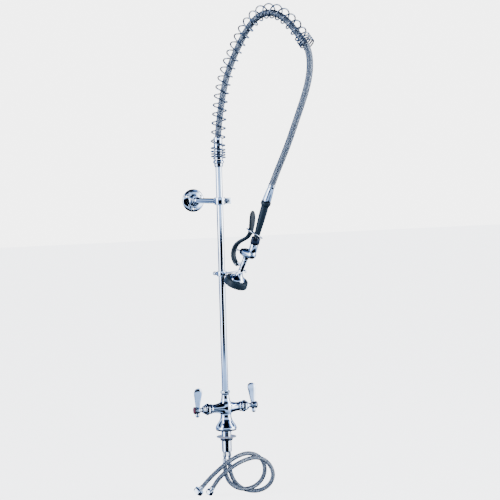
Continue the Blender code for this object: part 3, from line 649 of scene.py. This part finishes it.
def wound(points, radius, around, spread=0.0):
    """A round tube along points: a grid rolled about the line, with U in diameters along it and V once round it."""
    bm = bmesh.new()
    uv = bm.loops.layers.uv.new("UVMap")
    rows = len(points) - 1
    bmesh.ops.create_grid(bm, x_segments=rows, y_segments=around, size=0.5, calc_uvs=True)
    normals, lengths = [], [0.0]
    normal = None
    for index, point in enumerate(points):
        ahead = (points[min(index + 1, rows)] - points[max(index - 1, 0)]).normalized()
        if normal is None:
            normal = ahead.orthogonal().normalized()
        normal = (normal - ahead * normal.dot(ahead)).normalized()
        normals.append((normal, ahead.cross(normal)))
        if index:
            lengths.append(lengths[-1] + (point - points[index - 1]).length)
    for face in bm.faces:
        for loop in face.loops:
            row = round((loop.vert.co.x + 0.5) * rows)
            loop[uv].uv = (lengths[row] / (2 * radius), loop.vert.co.y + 0.5)
    ends = ([], [])
    for vert in bm.verts:
        row, angle = round((vert.co.x + 0.5) * rows), 2 * pi * (vert.co.y + 0.5)
        normal, side = normals[row]
        vert.co = points[row] + radius * (normal * cos(angle) + side * sin(angle))
        if row in (0, rows):
            ends[row == rows].append(vert)
    bmesh.ops.remove_doubles(bm, verts=bm.verts, dist=radius * 1e-3)
    rims = [e for e in bm.edges if e.is_boundary]
    bmesh.ops.holes_fill(bm, edges=rims, sides=0)
    bmesh.ops.recalc_face_normals(bm, faces=bm.faces)
    return bm


def loft(stations, segments=20):
    """A closed skin over circles made oblong: (middle, across, half across, out, half out, squareness)."""
    bm = bmesh.new()
    loops = []
    for middle, across, half_across, out, half_out, square in stations:
        made = bmesh.ops.create_circle(bm, cap_ends=False, radius=1, segments=segments)["verts"]
        for vert in made:
            x, y = vert.co.x, vert.co.y
            size = (abs(x) ** square + abs(y) ** square) ** (1 / square)
            vert.co = middle + across * (x / size * half_across) + out * (y / size * half_out)
        loops.append(list({edge for vert in made for edge in vert.link_edges}))
    for before, after in zip(loops, loops[1:]):
        bmesh.ops.bridge_loops(bm, edges=before + after)
    bmesh.ops.holes_fill(bm, edges=[e for e in bm.edges if e.is_boundary], sides=0)
    bmesh.ops.recalc_face_normals(bm, faces=bm.faces)
    return bm


def rounded(obj, levels=1):
    surface = obj.modifiers.new("rounded", "SUBSURF")
    surface.levels = surface.render_levels = levels
    return obj


# ---- hoses and the spring ----

def make_hose():
    points, length = smooth_route([in_arch(*point) for point in HOSE_ROUTE], 320)
    hose = to_object("prerinse_hose_piece", [wound(points, HOSE_R, 32)], 60)
    done(hose, "braid", None, "prerinse_hose")
    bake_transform(hose)
    ferrule = piece(
        "hose_ferrule", "chrome", "spray_arch",
        placed(
            lathe([
                (0, 0.3), (8.4, 0.3), (9.2, 1.4), (9.2, 3), (8.7, 3.4), (8.7, 4.2), (9.2, 4.6), (9.2, 8), (8.2, 9),
                (8.5, 12), (9.4, 18), (10.4, 29), (11.2, 40), (11.6, 44), (11.6, 47.6), (6.2, 47.6), (6.2, 36),
                (0, 36),
            ]),
            arch_line(HOSE_ROUTE[-1], GRIP_TOP),
        ),
    )


def make_spring():
    fine, length = smooth_route([in_arch(*point) for point in SPRING_ROUTE], 1200)
    normals = []
    for index in range(len(fine)):
        ahead = fine[min(index + 1, len(fine) - 1)] - fine[max(index - 1, 0)]
        normals.append(ahead.cross(ARCH_SIDE).normalized())
    points, along, turns, steps = [], 0.0, 0.0, 40
    while along < length - WIRE_R:
        place = int(along / length * (len(fine) - 1))
        angle = 2 * pi * turns
        points.append(fine[place] + COIL_R * (normals[place] * cos(angle) + ARCH_SIDE * sin(angle)))
        near_end = min(along, length - along)
        share = min(max((near_end - 3 * CLOSED_PITCH) / ACTIVE_PITCH, 0), 1)
        turns += 1 / steps
        along += (CLOSED_PITCH + (ACTIVE_PITCH - CLOSED_PITCH) * share) / steps
    spring = to_object("arch_spring_piece", [wound(points, WIRE_R, 14)], 60)
    done(spring, "chrome", None, "arch_spring")
    # The spring takes the darker copy of chrome in place of its chrome: painted shade on the coils
    spring.data.materials[0] = finishes["spring_wire"]
    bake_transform(spring)


def make_supply(side, sign, route, nut_flats):
    tail = Matrix.Translation(in_loop(sign * TAIL_X, 0, 0))
    piece(
        f"{side}_hose_tail", "steel", "root",
        placed(lathe([(0, -76.5), (3.4, -76.5), (3.4, -74), (4.6, -73.5), (4.6, -60.6), (3.8, -60), (3.8, 18), (0, 18)],
                     32, 0.2), tail),
        placed(hex_bar(9.6, -71.5, -63, 0.6), tail),
    )
    foot = in_loop(*route[0])
    sleeve = piece(
        f"{side}_hose_sleeve", "chrome", "root",
        placed(lathe([
            (0, 1.1), (5.6, 1.1), (5.9, 1.8), (5.9, 4.2), (5.5, 4.8), (5.5, 6), (5.9, 6.6), (5.9, 8.6), (5.5, 9.2),
            (5.5, 10.4), (5.9, 11), (5.9, 14), (5, 15.5), (4.2, 17), (0, 17),
        ], 40, 0.25), aim(foot, foot + UP)),
    )
    points, length = smooth_route([in_loop(*point) for point in route], 240)
    hose = to_object(f"{side}_supply_hose_piece", [wound(points, SUPPLY_R, 28)], 60)
    done(hose, "braid", "root", f"{side}_supply_hose")
    end, before = points[-1], points[-2]
    line = aim(end, end + (end - before))
    crimp = piece(
        f"{side}_end_sleeve", "chrome", "root",
        placed(lathe([
            (0, 0.3), (5.6, 0.3), (6.3, 1.2), (6.3, 2.8), (5.9, 3.3), (5.9, 4.3), (6.3, 4.8), (6.3, 6), (5.9, 6.5),
            (5.9, 7.3), (6.3, 7.8), (6.3, 9), (5.2, 10), (5.2, 12.5), (0, 12.5),
        ], 40, 0.25), line),
    )
    nut = piece(f"{side}_supply_nut", "chrome", "root", placed(hex_bar(nut_flats, 12.8, 24, 1.2), line))
    cut(nut, placed(rod(nut_flats / 2 - 2.6, 15.5, 30), line))
    del sleeve


# ---- on and below the deck ----

def make_deck_fixing():
    piece("base_gasket", "black_rubber", "root", ring(14.2, 27.5, 0, 1.5))
    piece(
        "mounting_shank", "chrome", "root",
        lathe([(11.2, -59), (12.4, -59), (12.9, -58), (12.9, 9), (11.2, 9)]), thread(13.5, -57.5, -1, 1.8, 0.5),
    )
    piece("deck_washer", "white_plastic", "root", ring(14, 26.7, -19, -17, 0.5))
    nut = to_object("deck_locknut_piece", [lathe([
        (13.9, -27.5), (16.2, -27.5), (17, -26.3), (17, -20.6), (16.2, -19.3), (13.9, -19.3)])])
    for index in range(4):
        cut(nut, placed(block((15.6, -2, -29), (19, 2, -22.5), 0.3), spun("Z", 45 + index * 90)))
    done(nut, "dark_chrome", "root", "deck_locknut")


def make_body():
    """The cast bell with its two arms, in one smooth piece, bored for the riser, valves and hose tails."""
    bell = lathe([
        (0, 1.8), (27.2, 1.8), (28.2, 2.6), (28.7, 4), (28.7, 6), (28.2, 8.4), (27.1, 11), (25.6, 13.8), (23.8, 16.6),
        (21.8, 19.4), (19.8, 22.4), (18, 25.6), (16.5, 29), (15.4, 32.6), (14.8, 36.2), (14.5, 40), (14.9, 44), (15.9, 48),
        (16.8, 52.4), (17.4, 57), (17.5, 62), (16.9, 66.6), (15.7, 71), (14.1, 75.4), (12.7, 79.4), (11.7, 83.4),
        (11.2, 87), (10.9, 91), (10.9, 96.5), (0, 96.5),
    ], 96, 0)
    half = [(0, -40), (12.1, -40), (11.9, -38), (11.8, -35), (11.9, -31), (12.4, -27), (13.2, -22.6), (14.3, -18), (15.8, -13)]
    arms = lathe(half + [(radius, -along) for radius, along in reversed(half)], 96, 0)
    body = to_object("faucet_body_piece", [bell])
    join(body, placed(arms, side_line(1)))
    cast(body, 0.0011, 26)
    for sign in (-1, 1):
        join(body, placed(lathe([
            (0, 30), (11, 30), (11, 38.2), (11.9, 39.4), (12.9, 40.4), (13.3, 41.4), (13.3, 45.6), (12.9, 46.6), (12.2, 47), (0, 47),
        ], 80, 0), side_line(sign)))
    cut(body, rod(13.9, -2, 9.6, 64))
    cut(body, rod(RISER_R + 0.3, 79.5, 120))
    cut(body, rod(4.5, 63.7, 90, 32))
    for sign in (-1, 1):
        tail = Matrix.Translation(in_loop(sign * TAIL_X, 0, 0))
        cut(body, placed(rod(8.4, 18.3, 60, 40), side_line(sign)))
        cut(body, placed(rod(4.3, 5, 19, 24), tail))
    done(body, "chrome", "root", "faucet_body")


def make_side_valve(side, sign, lean, cap):
    line = side_line(sign)
    bonnet = piece(
        f"{side}_bonnet", "chrome", "root",
        placed(lathe([
            (10.9, 47.9), (12.4, 47.9), (12.5, 57.8), (12.3, 60.2), (11.6, 61), (10.7, 61.5), (10.5, 62.5), (10.1, 64),
            (9.2, 65), (8, 65.6), (3.8, 65.6), (3.8, 60.4), (8.6, 60.4), (8.6, 49.6), (10.9, 49.6),
        ]), line),
    )
    join(bonnet, placed(hex_bar(27.6, 48.2, 56.8, 1.3), line))
    cut(bonnet, placed(lathe([(0, 40), (10.8, 40), (10.8, 49.6), (8.6, 49.6), (8.6, 60.4), (0, 60.4)], 48, 0), line))
    body = f"{side}_handle"
    hub = to_object(f"{side}_handle_piece", [placed(lathe([
        (3.5, 66.2), (6.1, 66.2), (6, 67.2), (5.7, 68.6), (5.7, 70), (6, 71.6), (6.8, 73.4), (8.2, 75), (9.1, 76.2),
        (9.5, 77.8), (9.5, 86.2), (9, 87.2), (5, 87.2), (5, 82), (3.5, 82),
    ]), line)])
    tilt = moved(z=ARM_Z) @ spun("X", lean) @ moved(x=sign * (HUB_X - 0.8))
    side_out, front = Vector((1, 0, 0)), Vector((0, 1, 0))
    blade = [
        (5, 5.2, 2.6), (9, 6.0, 2.6), (14, 6.9, 2.5), (20, 7.8, 2.4), (26, 8.7, 2.3), (32, 9.6, 2.3), (38, 10.6, 2.4),
        (43, 11.4, 2.5), (48, 11.9, 2.6), (52, 11.6, 2.6), (55, 10.4, 2.5), (57.4, 8.4, 2.2), (58.9, 6, 1.8), (59.8, 3.2, 1.1),
    ]
    stub = [(-7, 4.6), (-10, 5.1), (-14, 5.6), (-16.6, 5.3), (-18.6, 4.2), (-19.6, 2.8), (-20, 1.2)]
    lever = loft([(Vector((0, 0, z)), side_out, wide, front, thick, 2.8) for z, wide, thick in blade], 32)
    knob = loft([(Vector((0, 0, z)), side_out, radius, front, radius, 2) for z, radius in stub], 32)
    join(hub, placed(lever, tilt))
    join(hub, placed(knob, tilt))
    done(hub, "chrome", body, f"{side}_handle")
    piece(
        f"{side}_index", cap, body,
        placed(lathe([
            (0, 85.4), (4.5, 85.4), (4.5, 87.7), (9.4, 87.7), (9.9, 88.2), (9.8, 89), (9.2, 90.1), (7.9, 90.9), (7.3, 90.8),
            (6.8, 91), (4.8, 91.6), (2.4, 91.9), (0, 92),
        ], soft=0.2), line),
    )


# ---- riser, wall bracket and hook ----

def make_riser():
    nut = piece("riser_coupling_nut", "chrome", "root", hex_bar(24, 98.9, 106, 1.1))
    cut(nut, rod(RISER_R + 0.3, 90, 120))
    piece("riser_pipe", "chrome", "root", ring(6.7, RISER_R, 80, 708.5, 0.4))
    piece("riser_seal", "black_rubber", "root", ring(RISER_R + 0.3, 10.4, 96.8, 98.6))
    piece(
        "spring_seat", "chrome", "root",
        lathe([
            (RISER_R + 0.3, 702), (10.2, 702), (10.6, 702.6), (10.6, 704), (11.6, 705), (11.6, 711), (12.4, 712.2),
            (14.2, 712.8), (14.6, 713.6), (14.6, 716.6), (14, 717.8), (12.8, 719), (12.4, 721.5), (5, 721.5), (5, 709),
            (RISER_R + 0.3, 709),
        ]),
    )
    piece(
        "hose_swage", "chrome", "root",
        lathe([
            (9.9, 722), (11.8, 722), (11.8, 731), (11.4, 731.8), (11.4, 733.4), (11.8, 734.2), (11.8, 746), (11.4, 746.8),
            (11.4, 748.4), (11.8, 749.2), (11.8, 761), (11.4, 761.8), (11.4, 763.4), (11.8, 764.2), (11.8, 777),
            (11, 781), (9.9, 781),
        ]),
    )


def make_wall_bracket():
    level = moved(z=BRACKET_Z)
    to_wall = level @ spun("X", -90)
    clamp = to_object("riser_clamp_piece", [placed(ring(RISER_R + 0.3, 14, -10, 10, 0.9), level)])
    join(clamp, placed(block((9, -6, -8), (31, 6, 8), 1.2), level))
    join(clamp, placed(lathe([(0, 10), (9.8, 10), (9.7, 12), (9.3, 16), (8.6, 20), (8.1, 24), (8, 27), (0, 27)]), to_wall))
    cut(clamp, placed(rod(RISER_R + 0.25, -20, 20), level))
    cut(clamp, placed(block((5, -1, -20), (40, 1, 20)), level))
    across = level @ moved(x=22) @ spun("X", 90)
    cut(clamp, placed(rod(2.8, -12, 12, 24), across))
    done(clamp, "chrome", "root", "riser_clamp")
    screw = piece("clamp_screw", "steel", "root",
                  placed(lathe([(0, -8.5), (2.4, -8.5), (2.4, 6.3), (4.3, 6.3), (4.3, 10.4), (0, 10.4)], 32, 0.3), across))
    cut(screw, placed(prism(hexagon(4), 7.6, 12), across))
    piece(
        "bracket_arm", "chrome", "root",
        placed(lathe([
            (0, 27.3), (7.3, 27.3), (7.3, 159.6), (8.6, 160.6), (9.4, 162), (9.4, 172), (8.6, 173.4), (7.3, 174.4),
            (7.3, 196), (0, 196),
        ]), to_wall),
    )
    nut = piece("wall_nut", "chrome", "root", placed(hex_bar(25, 176.6, 188, 1.3), to_wall))
    cut(nut, placed(rod(7.5, 165, 195), to_wall))
    flange = to_object("wall_flange_piece", [placed(lathe([
        (7.6, 188.4), (12.8, 188.4), (13.8, 189.2), (14.6, 190.4), (16.4, 191.2), (20, 191.8), (24, 192.6), (27.6, 193.6),
        (30, 194.8), (31.4, 196.2), (32, 198), (32, WALL_Y), (0, WALL_Y), (0, 196.4), (7.6, 196.4),
    ], 96), to_wall)])
    for index in range(3):
        turn = to_wall @ spun("Z", 90 + 120 * index) @ moved(x=23)
        cut(flange, placed(lathe([(0, 188), (4.6, 188), (4.6, 194), (2.5, 196.4), (2.5, 210), (0, 210)], 32, 0), turn))
    done(flange, "chrome", "root", "wall_flange")


def make_hook():
    level = moved(z=HOOK_Z)
    out = aim(in_arch(0, HOOK_Z), in_arch(1, HOOK_Z), ARCH_SIDE)
    back = out @ spun("X", 180)
    flat = out @ spun("X", -HOOK_RISE) @ spun("X", 90)
    fork = to_object("hook_fork_piece", [placed(ring(RISER_R + 0.3, 13.2, -6.5, 6.5, 0.8), level)])
    join(fork, placed(rod(4.6, 10.5, 18, 40, 0.4), back))
    yoke = [
        (-14.5, 18), (-13.6, 14), (-11.4, 10.8), (-8, 8), (8, 8), (11.4, 10.8), (13.6, 14), (14.5, 18), (14.5, 75), (10, 75),
        (10, 28), (8.6, 24.8), (6, 23), (2, 22.4), (-2, 22.4), (-6, 23), (-8.6, 24.8), (-10, 28), (-10, 75), (-14.5, 75),
    ]
    join(fork, placed(prism(yoke, -1.7, 1.7, 0.7, 3), flat))
    for sign in (-1, 1):
        middle = sign * 12.25
        join(fork, placed(block((middle - 2.2, 70.4, 1), (middle + 2.2, 74.8, 7.2), 1.1), flat))
    cut(fork, placed(rod(RISER_R + 0.25, -20, 20), level))
    cut(fork, placed(rod(2.4, 5, 25, 24), back))
    done(fork, "chrome", "root", "hook_fork")
    knob = lathe([
        (0, 9.1), (2, 9.1), (2, 20.5), (3.6, 20.8), (4.6, 21.6), (5.2, 22.8), (5.2, 26.8), (4.6, 27.8), (3.6, 28.4), (0, 28.8),
    ], 48, 0)
    for vert in knob.verts:
        if vert.co.xy.length > 5 and round(vert.co.xy.angle_signed(Vector((1, 0))) * 24 / pi) % 2:
            vert.co.xy *= 0.92
    piece("hook_thumbscrew", "chrome", "thumbscrew", placed(knob, back))


# ---- spray valve ----

def make_grip():
    line = arch_line(GRIP_TOP, GRIP_FOOT)
    piece(
        "grip_sleeve", "slate_plastic", "spray_arch",
        placed(lathe([
            (5.4, -1.8), (11.4, -1.8), (12.4, -1.4), (13, -0.4), (13.1, 1), (13.1, 5.6), (12.8, 6.8), (11.9, 8.2),
            (10.9, 9.6), (10.2, 11.6), (10, 15), (10.05, 22), (10, 30), (9.8, 40), (9.5, 50), (9, 62), (8.4, 74),
            (7.9, 84), (7.7, 92), (7.7, 96), (7.2, 97), (5.4, 97),
        ]), line),
    )
    nut = piece("inlet_nut", "dark_chrome", "spray_arch", placed(hex_bar(21, 98.4, 117, 1.0), line))
    cut(nut, placed(rod(5.4, 90, 105.4, 40), line))
    cut(nut, placed(rod(3.4, 100, 130, 32), line))


def make_valve():
    barrel = arch_line(BARREL_OUT, BARREL_IN)
    line = arch_line(GRIP_TOP, GRIP_FOOT)
    spray = arch_line(SPRAY_TOP, SPRAY_END)
    body = to_object("valve_body_piece", [placed(lathe([
        (7.4, 0), (10.4, 0), (11.2, 0.4), (11.7, 1.2), (12, 3), (12.1, 16), (12, 24), (11.7, 27), (11, 29.6), (9.8, 31.8),
        (8, 33.6), (5.8, 34.7), (3.5, 35.3), (0, 35.6), (0, 26), (7.4, 26),
    ]), barrel)])
    join(body, placed(lathe([(0, 117.3), (9.6, 117.3), (10.1, 117.8), (10.4, 119), (10.7, 126), (11, 137), (0, 137)]), line))
    join(body, placed(lathe([(0, -10), (9, -10), (8.8, -6), (8.3, -3.4), (7.8, -1.4), (7.6, 0.4), (7.6, 3.2), (0, 3.2)]), spray))
    cut(body, placed(rod(7.4, -5, 26), barrel))
    done(body, "chrome", "spray_arch", "valve_body")

    across = aim(in_arch(*LEVER_PIVOT), in_arch(*LEVER_PIVOT, 1), ARCH_OUT)
    ear = arch_line(LEVER_PIVOT, (76, LEVER_PIVOT[1] + 2))
    neck = to_object("spray_neck_piece", [placed(lathe([
        (3.8, 3.5), (6.75, 3.5), (6.75, 10), (6.4, 10.6), (6.4, 12), (6.75, 12.6), (6.75, 40), (3.8, 40)]), spray)])
    join(neck, placed(block((-3, -4.6, 0), (3, 4.6, 18.5), 0.5), ear))
    join(neck, placed(rod(4.6, -3, 3, 40, 0.4), across))
    cut(neck, placed(rod(2.3, -9, 9, 24), across))
    cut(neck, placed(rod(3.8, -9, 60, 40), spray))
    done(neck, "chrome", "spray_arch", "spray_neck")
    piece("lever_pin", "steel", "spray_arch", placed(rod(1.9, -8.2, 8.2, 28, 0.3), across))
    piece(
        "valve_bonnet", "dark_chrome", "spray_arch",
        placed(lathe([
            (3.3, -12), (5.8, -12), (6.9, -11.7), (8, -10.9), (8.6, -10), (8.8, -8.6), (8.8, -4.6), (9.2, -4.2), (10.2, -4),
            (10.6, -3.4), (10.6, -0.9), (10.2, -0.4), (7, -0.4), (7, 5), (3.3, 5),
        ]), barrel),
    )
    piece(
        "plunger", "steel", "plunger",
        placed(lathe([
            (0, -30.2), (1.4, -30.1), (2.3, -29.7), (2.7, -29), (2.8, -28.2), (2.8, -25), (2.1, -23.5), (2.1, 6.5), (5.6, 6.5),
            (5.6, 8.1), (2.1, 8.1), (2.1, 14), (0, 14),
        ], 32, 0.15), barrel),
    )
    coil = []
    for index in range(5 * 20 + 1):
        angle = 2 * pi * index / 20
        coil.append(barrel @ Vector((4.4 * cos(angle), 4.4 * sin(angle), 11.9 + index / 100 * 12.8)))
    spring = piece("return_spring", "steel", "spray_arch", wound(coil, 0.55, 8))
    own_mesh(spring)


def make_lever():
    """The cast lever: a flat paddle beside the grip, then an arm that curls under the valve to its pin."""
    stations = [
        (112.9, 586.2, 1, 4), (112.85, 584.8, 2.6, 9.6), (112.7, 582, 4, 15), (112.4, 578, 4.8, 19), (112, 572, 5.1, 21.8),
        (111, 562, 5.4, 23.4), (109.2, 550, 5.6, 22), (106.4, 538, 6.2, 19.4), (102, 526, 7.2, 17.4), (93, 517, 7.8, 16.4),
        (84, 512.6, 8.2, 16.2), (75, 509, 8.5, 16.2), (65, 504.6, 8.8, 16.2), (56, 498.5, 9, 16.2), (49.8, 491.8, 9, 16.2),
        (45.6, 484, 9.1, 16.2), (43.2, 476, 9.2, 16.2), (42.8, 468, 9.4, 16.2), (43.8, 461.4, 9.6, 16), (46.2, 455.5, 9.8, 15.6),
        (49.8, 450.4, 10, 15.2), (54, 446, 10.2, 14.8), (57, 443.6, 8.4, 14.4), (59, 442.2, 5.4, 13.6),
    ]
    middles = [in_arch(u, z) for u, z, _, _ in stations]
    rings = []
    for index, (_, _, thickness, width) in enumerate(stations):
        along = middles[min(index + 1, len(middles) - 1)] - middles[max(index - 1, 0)]
        out = along.cross(ARCH_SIDE).normalized()
        rings.append((middles[index], ARCH_SIDE, width / 2, out, thickness / 2, 3.2))
    lever = to_object("squeeze_lever_piece", [loft(rings, 28)], 50)
    across = aim(in_arch(*LEVER_PIVOT), in_arch(*LEVER_PIVOT, 1), ARCH_OUT)
    cut(lever, placed(rod(8.4, -3.4, 3.4, 48), across))
    cut(lever, placed(rod(2.3, -12, 12, 28), across))
    done(lever, "slate_plastic", "squeeze_lever", "squeeze_lever")


def make_spray_head():
    spray = arch_line(SPRAY_TOP, SPRAY_END)
    piece(
        "spray_bell", "chrome", "spray_arch",
        placed(lathe([
            (3.8, 40.3), (7, 40.3), (7.4, 41), (7.8, 42.4), (8, 43.6), (8.2, 45), (8.7, 46.6), (9.6, 48.6), (10.7, 50.8),
            (12.1, 52.9), (13.8, 55), (15.8, 57.1), (18, 59.2), (19.7, 61), (21, 63), (21.9, 65.6), (21.9, 73.6), (19, 73.6),
            (19, 66.8), (15.6, 61), (9, 51), (3.8, 48),
        ], 96), spray),
    )
    piece(
        "bumper", "slate_plastic", "spray_arch",
        placed(lathe([
            (22.3, 63.8), (24.4, 63.4), (27.2, 63.7), (28.8, 64.2), (30, 65.2), (30.6, 66.8), (31, 69.6), (31.4, 73),
            (31.9, 77), (32.1, 79.8), (31.9, 81.2), (31, 82), (28.6, 82.2), (24.4, 82), (23, 81.4), (22.3, 80),
        ], 96), spray),
    )
    face = to_object("spray_face_piece", [placed(lathe([
        (2, 74), (21.9, 74), (21.9, 76.2), (21.2, 77), (19.6, 77.6), (12, 78.1), (2, 78.4)], 96), spray)])
    for row, (radius, count) in enumerate(((9.5, 5), (15.5, 8))):
        for index in range(count):
            turn = spray @ spun("Z", 360 * (index + row / 2) / count) @ moved(x=radius)
            cut(face, placed(rod(1.5, 70, 85, 20), turn))
    done(face, "steel", "spray_arch", "spray_face")
    screw = piece("face_screw", "steel", "spray_arch",
                  placed(lathe([(0, 58), (1.7, 58), (1.7, 78.7), (4, 78.7), (4, 80.2), (3.2, 81), (0, 81.5)], 32, 0.2), spray))
    cut(screw, placed(block((-5, -0.6, 80.2), (5, 0.6, 83)), spray))
    normal = ARCH_OUT * RING_NORMAL[0] + ARCH_SIDE * RING_NORMAL[1] + UP * RING_NORMAL[2]
    middle = in_arch(*RING_MIDDLE)
    section = [(RING_R + RING_WIRE * cos(pi * i / 7), RING_WIRE * sin(pi * i / 7)) for i in range(14)]
    piece("hold_ring", "chrome", "hold_ring", placed(lathe(section, 96, 0), aim(middle, middle + normal)))


finishes = make_finishes()
make_camera()
make_hose()
make_supply("hot", -1, HOT_ROUTE, 24)
make_supply("cold", 1, COLD_ROUTE, 18)
make_spring()
make_deck_fixing()
make_body()
make_side_valve("hot", -1, 8, "red_plastic")
make_side_valve("cold", 1, -11, "blue_plastic")
make_riser()
make_wall_bracket()
make_hook()
make_grip()
make_valve()
make_lever()
make_spray_head()
slots = {part["node"]: part["material_slot"] for part in frame["record"]["subparts"]}
for name, node in frame["nodes"].items():
    node.data.materials.clear()
    node.data.materials.append(finishes[slots[name]])
make_studio()
